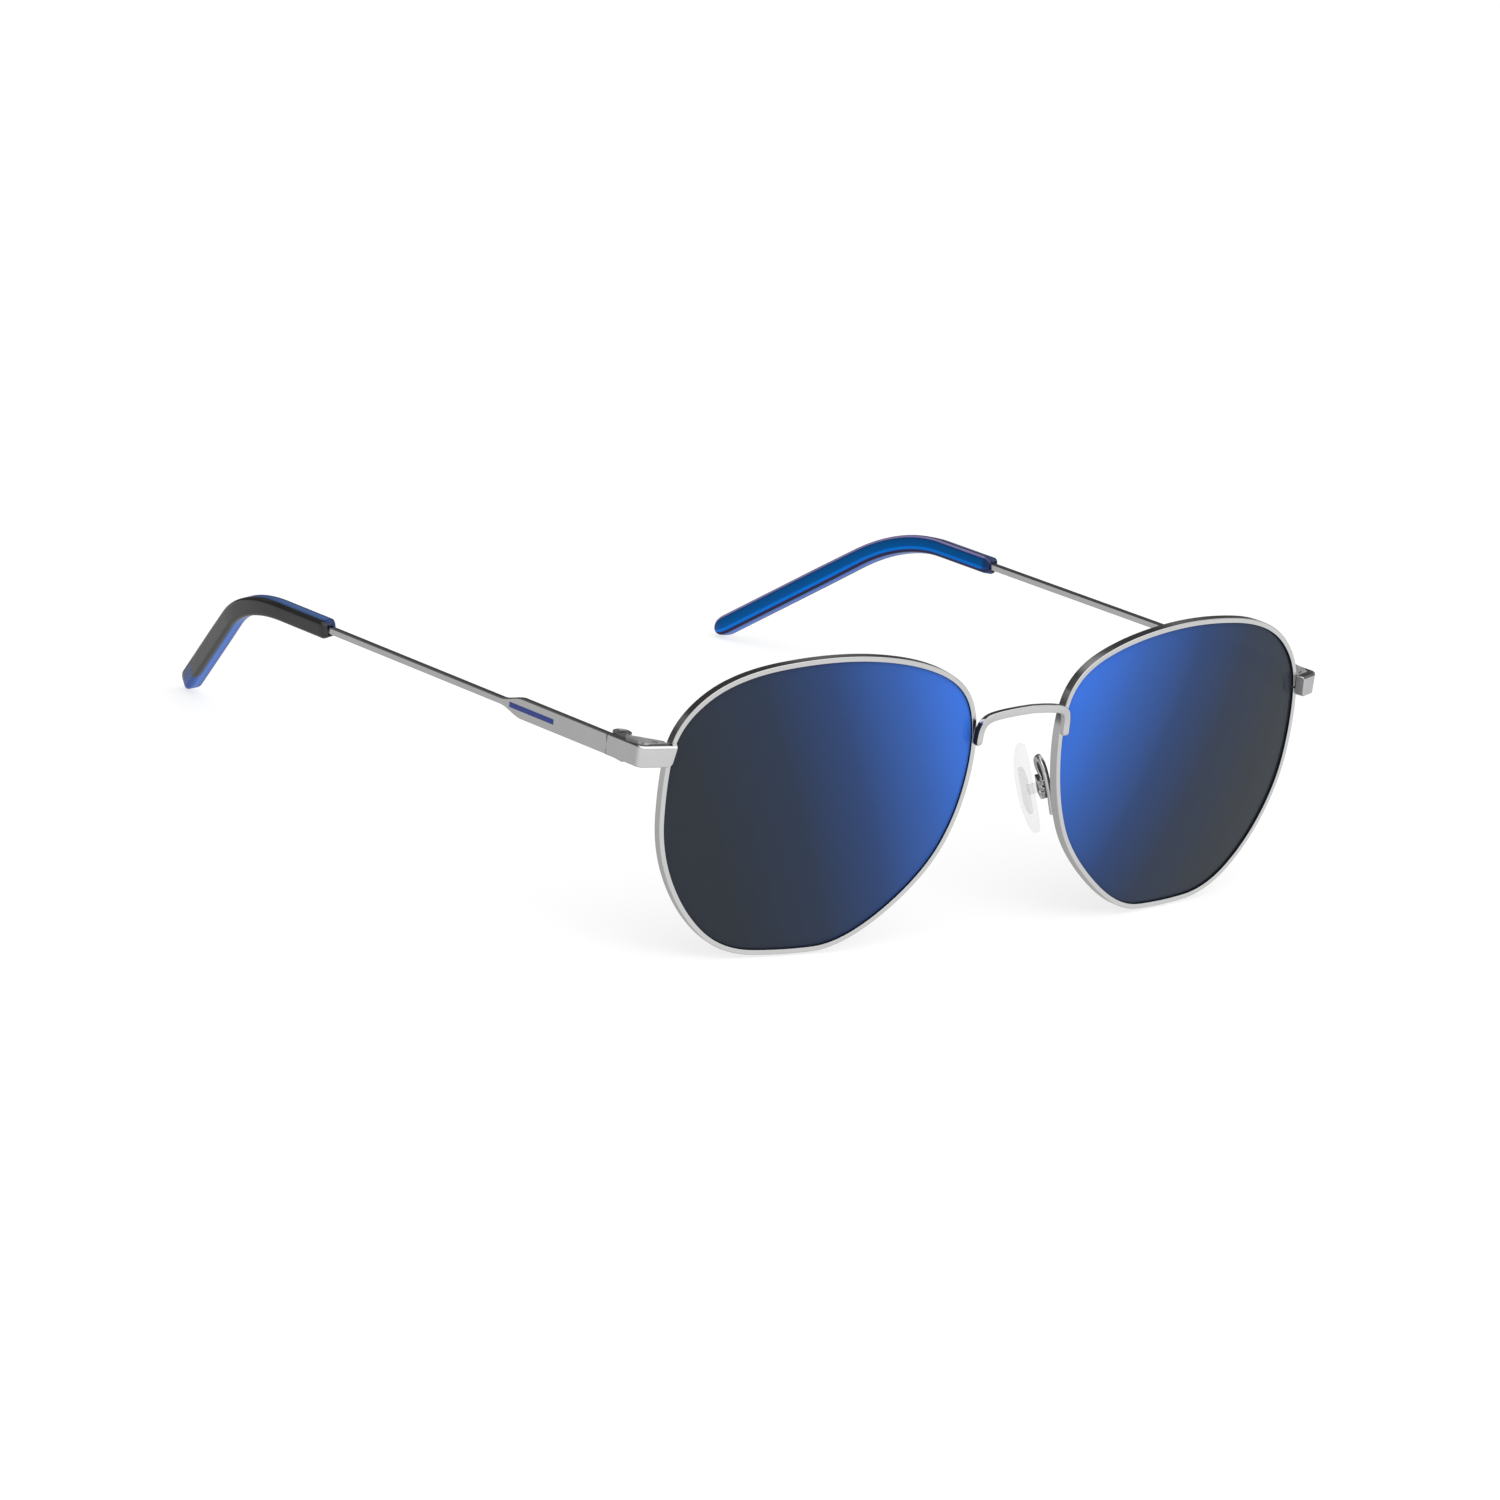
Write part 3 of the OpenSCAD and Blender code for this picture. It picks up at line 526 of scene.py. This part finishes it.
# ---- end pieces ---------------------------------------------------------------------------------
def make_end_piece(side, name):
    run = Vector((math.cos(end_angle), math.sin(end_angle)))
    turn = math.pi / 2 - end_angle
    cut = end_bend_r * math.tan(turn / 2)
    corner_y = end_start.y + (side_x - end_start.x) * math.tan(end_angle)
    centre = Vector((side_x - end_bend_r, corner_y + cut))
    front_run = (side_x - end_start.x) / math.cos(end_angle) - cut
    back_run = seam_y - half_seam - centre.y
    stations = [(end_start + run * front_run * k, 0, k) for k in (0, 0.2, 0.4, 0.6, 0.8, 0.93, 1)]
    for k in range(1, 13):
        a = end_angle - math.pi / 2 + turn * k / 12
        stations.append((centre + end_bend_r * Vector((math.cos(a), math.sin(a))), k / 12, 1))
    stations += [(Vector((side_x, centre.y + back_run * k)), 1, 1 + k) for k in (0.3, 0.65, 1)]
    h, low = end_h / 2, 0.55
    rings = []
    for i, (q, bent, share) in enumerate(stations):
        if share <= 1:
            z = end_z[0] + (end_z[1] - end_z[0]) * share
        else:
            z = end_z[1] + (end_z[2] - end_z[1]) * (share - 1)
        t = end_t + (end_back_t - end_t) * bent
        a = end_angle + turn * bent
        flat = Vector((math.cos(a), math.sin(a), 0))
        inward = Vector((-flat.y, flat.x, 0))
        bevel = 0.32 - 0.14 * smooth((bent - 0.1) / 0.5)
        section = rounded([
            (0, -h, 0.18), (0, -h + 0.3, 0), (0, -h + 0.42, 0), (0, -h + low, 0),
            (0, h - bevel, 0.1), (bevel * 0.75, h, 0.05), (t, h, 0.12), (t, -h + low, 0),
            (t, -h + 0.42, 0), (t, -h + 0.3, 0), (t, -h, 0.15)])
        points = []
        for s in section:
            push = 0.0
            if i == 0:
                below = low - clamp((s.y + h) / low) * low
                push = low - math.sqrt(max(0, low * low - below * below))
            push -= end_slant * s.y * (i == 0)
            points.append(Vector((q.x, q.y, z + s.y)) + inward * s.x + flat * push)
        rings.append(points)
    middle = sum(rings[0], Vector()) / len(rings[0])
    first = [p + (middle - p).normalized() * 0.12 for p in rings[0]]
    nudge = Vector((run.x, run.y, 0)) * 0.1
    rings = [first, [p + nudge for p in rings[0]]] + rings[1:]
    end_piece = piece(f"{name}_end_piece_visual", swept(rings), [silver], side)
    stands_for(end_piece, f"{name}_end_piece", "front")


# ---- temples and tips ---------------------------------------------------------------------------
temple_dir = Vector((0, math.cos(temple_slope), -math.sin(temple_slope)))
temple_x = side_x - temple_t / 2
leg_dir = Vector((-math.cos(tip_drop) * math.sin(tip_yaw),
                  math.cos(tip_drop) * math.cos(tip_yaw), -math.sin(tip_drop)))
ear_turn = math.acos(temple_dir.dot(leg_dir))
ear_side = (leg_dir - leg_dir.dot(temple_dir) * temple_dir).normalized()
ear_len = ear_bend_r * ear_turn
tip_len = tip_straight + ear_len + tip_leg


def on_temple(s):
    return Vector((temple_x, hinge.y, temple_z)) + s * temple_dir


def tip_at(s):
    """Point and direction down the middle of the tip sleeve, s from its front end."""
    if s < tip_straight:
        return on_temple(tip_start + s), temple_dir
    a = min(s - tip_straight, ear_len) / ear_bend_r
    point = (on_temple(tip_start + tip_straight)
             + ear_bend_r * (math.sin(a) * temple_dir + (1 - math.cos(a)) * ear_side))
    direction = math.cos(a) * temple_dir + math.sin(a) * ear_side
    return point + max(0, s - tip_straight - ear_len) * direction, direction


def make_temple(side, name):
    x, stripe_end = temple_t / 2, stripe_from + stripe_len

    def section(s):
        y = (panel_h + (wire_h - panel_h)
             * smooth((s - panel_end) / (wire_start - panel_end))) / 2
        flat = min(stripe_h / 2, y - 0.26)
        notch = stripe_depth if stripe_from <= s <= stripe_end else 0
        return rounded([
            (x - 0.1, y, 0.03), (-x, y, 0.2), (-x, -y, 0.2), (x, -y, 0.16),
            (x, -flat, 0), (x - notch, -flat, 0), (x - notch, flat, 0), (x, flat, 0),
            (x, y - 0.17, 0.03)], 3)

    start = seam_y + half_seam - hinge.y
    places = [start, 6, stripe_from - 0.01, stripe_from, panel_end]
    places += [panel_end + (stripe_end - panel_end) * k / 6 for k in range(1, 7)]
    places += [stripe_end + 0.01]
    places += [stripe_end + (wire_start - stripe_end) * k / 6 for k in range(1, 7)]
    places += [wire_start + (tip_start - wire_start) * k / 8 for k in range(1, 9)]
    rings = [ring(on_temple(s), temple_dir, section(s)) for s in places]
    middle = on_temple(start).z
    rings[0] = [p - temple_dir * (middle - p.z) * math.tan(temple_slope) for p in rings[0]]
    rings.append(ring(on_temple(tip_start + 1), temple_dir, section(tip_start)))
    edge_faces = [k for k in range(len(rings[0]))
                  if min(rings[1][k].z, rings[1][(k + 1) % len(rings[0])].z) > middle + 1.2]
    slots = [int(k in edge_faces) for _ in rings[1:] for k in range(len(rings[0]))] + [0, 0]
    temple = piece(f"{name}_temple_visual", swept(rings), [silver, edge_metal], side,
                   face_slots=slots)
    stands_for(temple, f"{name}_temple", f"{name}_temple")

    rings = []
    h, deep = stripe_h / 2 - 0.01, stripe_depth
    for s, shrink in ((0.01, 0.04), (0.05, 0), (stripe_len - 0.05, 0), (stripe_len - 0.01, 0.04)):
        y = h - shrink
        rings.append(ring(on_temple(stripe_from + s), temple_dir, rounded([
            (x - deep + 0.01, y, 0), (x - deep + 0.01, -y, 0), (x - 0.01 - shrink, -y, 0.03),
            (x + 0.01 - shrink, 0, 0.2), (x - 0.01 - shrink, y, 0.03)], 3)))
    stripe = piece(f"{name}_stripe_visual", swept(rings), [enamel], side)
    stands_for(stripe, f"{name}_stripe", f"{name}_temple")


def tip_size(s):
    """Width and height of the sleeve, s from its front end."""
    mouth = 1 - 0.34 * clamp(1 - s) ** 2.2
    h = tip_h + (tip_end_h - tip_h) * clamp((s - tip_straight) / (ear_len + 8))
    w = tip_t
    if tip_len - s < tip_nose:
        a = math.asin(clamp(1 - (tip_len - s) / tip_nose))
        w *= 0.35 + 0.65 * math.cos(a)
        h *= 0.12 + 0.88 * math.cos(a)
    return w * mouth, h * mouth


def tip_section(w, h):
    return rectangle(w, h, min(0.72, w / 2, h / 2), tip_corner_steps)


def tip_shares():
    """Places down the sleeve from 0 to 1, closer together near its mouth."""
    return [min(8 * k / tip_rings, 1) * k / tip_rings for k in range(tip_rings + 1)]


def skin_end(height):
    """Where the dark skin ends, for a height between the lower edge, -1, and the upper, 1."""
    past = height + 0.45
    return tip_len - 6.4 - (4.0 * (past / 1.45) ** 2 if past > 0 else 2.2 * (past / 0.55) ** 2)


def tip_point(s, x, y):
    p, t = tip_at(s)
    sideways = t.cross(Vector((math.tan(tip_tilt), 0, 1))).normalized()
    return p + x * sideways + y * sideways.cross(t)


def make_tip(side, name):
    """The blue sleeve, and the dark skin down its outer side, which ends in a tongue."""
    template = tip_section(tip_t, tip_end_h)
    n = len(template)
    heights = [q.y / (tip_end_h / 2) for q in template]
    covered = [q.x > skin_from for q in template]
    ends = [skin_end(y) if dark else skin_end(-1) + (skin_end(1) - skin_end(-1)) * (y + 1) / 2
            for y, dark in zip(heights, covered)]
    inner_edge = skin_from / (tip_t / 2)
    around = []
    for q in template:
        x, y = min(q.x / (tip_t / 2), inner_edge), q.y / (tip_end_h / 2)
        if y > 0.99 or (x > -0.5 and y > 0):
            around.append(0.25 * (inner_edge - x) / (inner_edge + 1))
        elif y < -0.99 or (x > -0.5 and y < 0):
            around.append(1 - 0.25 * (inner_edge - x) / (inner_edge + 1))
        else:
            around.append(0.5 - 0.25 * y)
    points, marks = [], []

    def add_ring(stations, clip, scale=1.0):
        row = []
        for k, s in enumerate(stations):
            w, h = tip_size(s)
            q = tip_section(w, h)[k] * scale
            x = min(q.x, skin_from - 0.01) if clip and covered[k] else q.x
            row.append(tip_point(s, x, q.y))
            # The deep mark is painted shade: dark on the outer side near the end, and at the mouth.
            dark = clamp(1 - abs(q.y + 0.1) / 1.3) * smooth((q.x + 0.3) / 0.6)
            mouth = 0.85 * (1 - smooth((s - 0.5) / 0.9))
            marks.append((around[k], max(mouth, dark * smooth((s - tip_len + 9) / 3))))
        points.append(row)

    for s, scale in ((0.8, 0.6), (0.05, 0.64), (0, 0.76)):
        add_ring([s] * n, True, scale)
    for share in tip_shares():
        add_ring([share * e for e in ends], True)
    add_ring(ends, False)
    for k in range(1, tip_nose_rings + 1):
        share = math.sin(math.pi / 2 * k / tip_nose_rings)
        add_ring([e + (tip_len - e) * share for e in ends], False)
    sleeve = piece(f"{name}_tip_visual", swept(points), [tip_blue], side,
                   {"around": [m[0] for m in marks], "deep": [m[1] for m in marks]}, sharp=40)
    stands_for(sleeve, f"{name}_tip", f"{name}_temple")

    corner = tip_corner_steps + 1         # points round one corner of the sleeve
    arc = list(range(n - corner, n)) + list(range(corner))
    rings = []
    for share in tip_shares():
        row = []
        for k in arc:
            s = share * ends[k]
            w, h = tip_size(s)
            q = tip_section(w, h)[k]
            row.append(tip_point(s, q.x, q.y))
        top, bottom = share * skin_end(1), share * skin_end(-1)
        row.append(tip_point(top, skin_from + 0.01, tip_size(top)[1] / 2))
        row.append(tip_point(bottom, skin_from + 0.01, -tip_size(bottom)[1] / 2))
        rings.append(row)
    skin = piece(f"{name}_tip_skin_visual", swept(rings), [skin_black], side, sharp=40)
    stands_for(skin, f"{name}_tip_skin", f"{name}_temple")


# ---- nose pads ----------------------------------------------------------------------------------
at_pad = (Matrix.Translation(pad_screw_at) @ Matrix.Rotation(-pad_lean, 4, "Y")
          @ Matrix.Rotation(-pad_splay, 4, "Z"))


def make_pad(side, name):
    rings = []
    for row in range(-24, 25):
        k = math.sin(math.pi / 2 * row / 24)
        w = pad_w / 2 * max(0, 1 - abs(k) ** 2.6) ** (1 / 2.2) * (1 - 0.08 * k)
        t = pad_t / 2 * (0.35 + 0.65 * math.sqrt(1 - k * k * 0.98))
        rings.append([at_pad @ Vector((
            -pad_out + t * math.cos(a) + 0.5 * k * k, max(w, 0.35) * math.sin(a),
            pad_rise + k * pad_len / 2)) for a in (math.tau * i / 48 for i in range(48))])
    pad = piece(f"{name}_nose_pad_visual", swept(rings), [silicone], side, sharp=50)
    stands_for(pad, f"{name}_nose_pad", f"{name}_pad")

    rings = []
    for x, shrink in ((-0.35, 0.2), (-0.27, 0), (0.27, 0), (0.35, 0.2)):
        rings.append([at_pad @ Vector((-pad_out + x, q.x, q.y))
                      for q in rectangle(4.2 - shrink, 7.4 - shrink, 1.4, 6)])
    tongue = []
    for x in (-pad_out + 0.3, 0.35, 0.55, 0.64):
        h = 1.3 * math.sqrt(max(0.1, 1 - clamp(x / 0.66) ** 2)) if x > 0 else 1.3
        tongue.append([at_pad @ Vector((x, q.x, q.y)) for q in rectangle(1.4, h, 0.12, 2)])
    core = piece(f"{name}_pad_core_visual", joined([swept(rings), swept(tongue)]), [clear_core],
                 side)
    stands_for(core, f"{name}_pad_core", f"{name}_pad")


def make_pad_holder(side, name):
    line = open_curve(arm_line, 8)
    section = rectangle(arm_d, arm_d * 0.85, 0.34, 4)
    rings = [ring(line[i], tangent(line, i), section, Vector((0, 0.9, 0.1)))
             for i in range(len(line))]
    arm = piece(f"{name}_pad_arm_visual", swept(rings), [polished], side, sharp=50)
    stands_for(arm, f"{name}_pad_arm", "front")

    rings = []
    w, length, wall = box_w, box_len, box_wall
    for x, shrink in ((box_back, 0.2), (box_back - 0.1, 0), (box_front + 0.04, 0),
                      (box_front, 0.08), (box_front, 2 * wall - 0.08),
                      (box_front + 0.04, 2 * wall), (box_back - 0.22, 2 * wall)):
        rings.append([at_pad @ Vector((x, q.x, q.y))
                      for q in rectangle(w - shrink, length - shrink, 0.18, 3)])
    box = piece(f"{name}_pad_box_visual", swept(rings), [polished], side)
    stands_for(box, f"{name}_pad_box", "front")


for side, name in ((1, "left"), (-1, "right")):
    make_rim(side, name)
    make_lens(side, name)
    make_end_piece(side, name)
    make_temple(side, name)
    make_tip(side, name)
    make_pad(side, name)
    make_pad_holder(side, name)
make_bridge()

for node, obj in frame["nodes"].items():
    part = node.split("_", 1)[-1]
    finish = {"upper_lock": edge_metal, "lower_lock": edge_metal, "front_knuckles": silver,
              "temple_knuckle": silver}.get(part, polished)
    obj.data.materials.clear()
    obj.data.materials.append(finish)

# ---- camera, floor and light ----------------------------------------------------------------------
camera_at, look_at = Vector((-833, -909.2, 402.6)), Vector((-66.1, -14.5, 16.8))
camera_roll = math.radians(8.59)
forward = (look_at - camera_at).normalized()
right = forward.cross(up_z).normalized()
above = right.cross(forward)
image_right = math.cos(camera_roll) * right + math.sin(camera_roll) * above
image_up = image_right.cross(forward)
camera = bpy.data.objects.new("camera", bpy.data.cameras.new("camera"))
bpy.context.collection.objects.link(camera)
turn = Matrix((image_right, image_up, -forward)).transposed().to_4x4()
camera.matrix_world = Matrix.Translation(stand @ camera_at) @ lean @ turn
camera.data.sensor_width, camera.data.lens = 36, 199.61
camera.data.clip_start, camera.data.clip_end = 0.01, 50
bpy.context.scene.camera = camera

floor_mesh = bpy.data.meshes.new("floor")
floor_mesh.from_pydata([(x, y, -0.0004) for x, y in ((-8, -8), (8, -8), (8, 8), (-8, 8))], [],
                       [(0, 1, 2, 3)])
floor = bpy.data.objects.new("floor", floor_mesh)
bpy.context.collection.objects.link(floor)
floor.visible_glossy = False
pale = new_material("pale_floor", (0.35, 0.35, 0.35), 0.9, Emission_Color=(1, 1, 1, 1),
                    Emission_Strength=0.72, Specular_IOR_Level=0.0)
floor_mesh.materials.append(pale)

world = bpy.data.worlds.new("studio")
bpy.context.scene.world = world
world.use_nodes = True


def world_value(operation, *inputs):
    node = world.node_tree.nodes.new("ShaderNodeMath")
    node.operation = operation
    for k, value in enumerate(inputs):
        if isinstance(value, (int, float)):
            node.inputs[k].default_value = value
        else:
            world.node_tree.links.new(value, node.inputs[k])
    return node.outputs["Value"]


def world_ramp(value, low, high, stops):
    """A brightness ramp over stops of (value, brightness); the brightness may pass 1."""
    curve = world.node_tree.nodes.new("ShaderNodeFloatCurve")
    points = curve.mapping.curves[0].points
    while len(points) < len(stops):
        points.new(0.5, 0.5)
    for point, (place, brightness) in zip(points, stops):
        point.location = ((place - low) / (high - low), brightness / 2)
        point.handle_type = "VECTOR"
    curve.mapping.update()
    world.node_tree.links.new(world_value("DIVIDE", world_value("SUBTRACT", value, low),
                                          high - low), curve.inputs["Value"])
    return world_value("MULTIPLY", curve.outputs["Value"], 2)


def studio():
    """Soft boxes in front and overhead, and a dark room behind, as the metal mirrors them."""
    nodes, links = world.node_tree.nodes, world.node_tree.links
    split = nodes.new("ShaderNodeSeparateXYZ")
    links.new(nodes.new("ShaderNodeTexCoord").outputs["Generated"], split.inputs["Vector"])
    back, height = split.outputs["Y"], split.outputs["Z"]
    front_light = world_ramp(height, -1, 1, [
        (-1, 0.55), (-0.31, 0.76), (-0.05, 0.8), (0.02, 0.3), (0.16, 0.25), (0.24, 0.9),
        (0.5, 1.0), (0.7, 1.4), (0.93, 1.3), (0.98, 0.75), (1, 0.7)])
    back_light = world_ramp(height, -1, 1, [
        (-1, 0.42), (-0.5, 0.44), (-0.31, 0.47), (-0.16, 0.5), (-0.1, 0.1), (0.2, 0.05),
        (0.25, 0.1), (0.34, 0.12), (0.38, 0.16), (0.42, 0.16), (0.46, 0.04), (0.74, 0.04),
        (0.86, 0.55), (1, 0.7)])
    share = world_ramp(back, -1, 1, [(-1, 0), (-0.35, 0.05), (0.1, 0.55), (0.55, 1), (1, 1)])
    mixed = world_value("ADD", world_value("MULTIPLY", back_light, share),
                        world_value("MULTIPLY", front_light, world_value("SUBTRACT", 1, share)))
    seen = nodes.new("ShaderNodeLightPath").outputs["Is Camera Ray"]
    level = world_value("ADD", world_value("MULTIPLY", mixed, world_value("SUBTRACT", 1, seen)),
                        seen)
    background = nodes["Background"]
    background.inputs["Color"].default_value = (1, 1, 1, 1)
    links.new(level, background.inputs["Strength"])


studio()


def soft_box(name, at, size, power):
    light = bpy.data.objects.new(name, bpy.data.lights.new(name, "AREA"))
    light.data.shape, light.data.size, light.data.energy = "SQUARE", size, power
    light.location = at
    light.rotation_euler = Vector(at).to_track_quat("Z", "Y").to_euler()
    light.visible_glossy = False
    bpy.context.collection.objects.link(light)


soft_box("overhead", (-0.3, -0.4, 1.5), 1.2, 6)
soft_box("front_fill", (0.5, -1.4, 0.7), 1.0, 3)
bpy.context.scene.view_settings.view_transform = "Standard"
